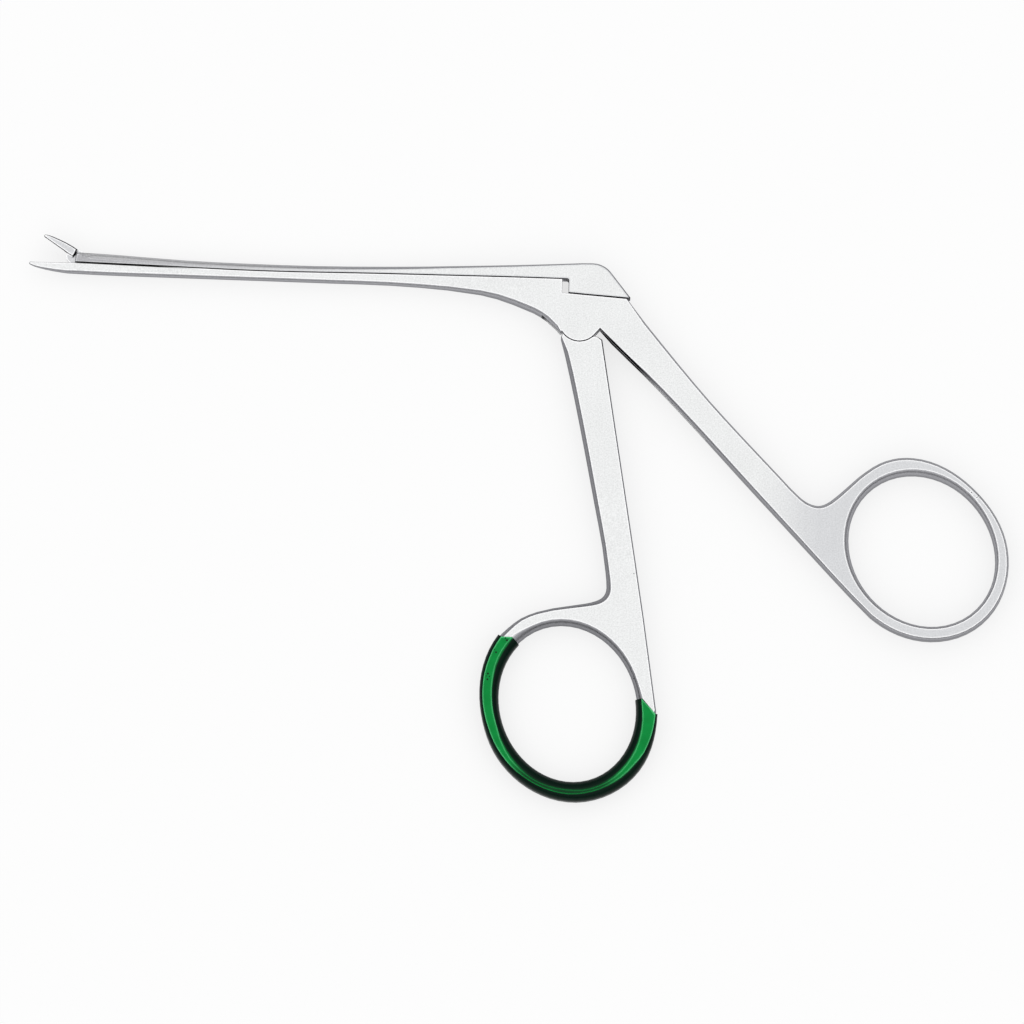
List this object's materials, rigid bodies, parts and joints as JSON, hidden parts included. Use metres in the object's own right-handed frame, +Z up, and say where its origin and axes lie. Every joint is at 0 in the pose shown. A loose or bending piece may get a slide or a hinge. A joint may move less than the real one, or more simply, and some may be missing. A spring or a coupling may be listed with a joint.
{
  "type": "ear forceps",
  "caption": "Angled ear forceps with a slender sliding shaft, small toothed jaws and two finger rings; the front ring is coated green.",
  "frame": {"origin": "centre of the bounding box, on the surface that the instrument lies on", "axes": "+X from the jaws towards the rear ring along the shaft, +Y from the front ring towards the shaft, +Z up from the surface"},
  "size_m": [0.1494, 0.0834, 0.0044],
  "materials": {
    "forging_steel": "satin stainless steel, fine bead-blasted grain",
    "lever_steel": "satin stainless steel, fine bead-blasted grain",
    "green_coat": "smooth green coat with a soft gloss and a few small pits",
    "slider_steel": "satin stainless steel, fine bead-blasted grain",
    "jaw_steel": "satin stainless steel",
    "pin_steel": "satin stainless steel, ground flush with the faces"
  },
  "bodies": {
    "handle": {"handle_shaft_and_lower_jaw": "forging_steel", "lever_pivot_pin": "pin_steel", "jaw_pivot_pin": "pin_steel"},
    "lever": {"finger_lever": "lever_steel", "finger_ring_coat": "green_coat"},
    "slider": {"slider_bar": "slider_steel", "drive_pin": "pin_steel", "jaw_link_pin": "pin_steel"},
    "upper_jaw": {"upper_jaw": "jaw_steel"}
  },
  "joints": [
    {"name": "lever_pivot", "type": "hinge", "parent": "handle", "child": "lever", "pos_m": [0.00873, 0.0311, 0.0022], "axis": [0, 0, 1], "range_deg": [0, 9.4]},
    {"name": "shaft_slide", "type": "slide", "parent": "handle", "child": "slider", "axis": [-1, 0, 0], "range_m": [0, 0.000921]},
    {"name": "jaw_pivot", "type": "hinge", "parent": "handle", "child": "upper_jaw", "pos_m": [-0.06687, 0.03692, 0.0022], "axis": [0, 0, 1], "range_deg": [0, 33.5]}
  ],
  "couplings": [
    {"joint": "shaft_slide", "follows": "lever_pivot", "m_per_rad": 0.005613},
    {"joint": "jaw_pivot", "follows": "lever_pivot", "ratio": 3.5638}
  ]
}
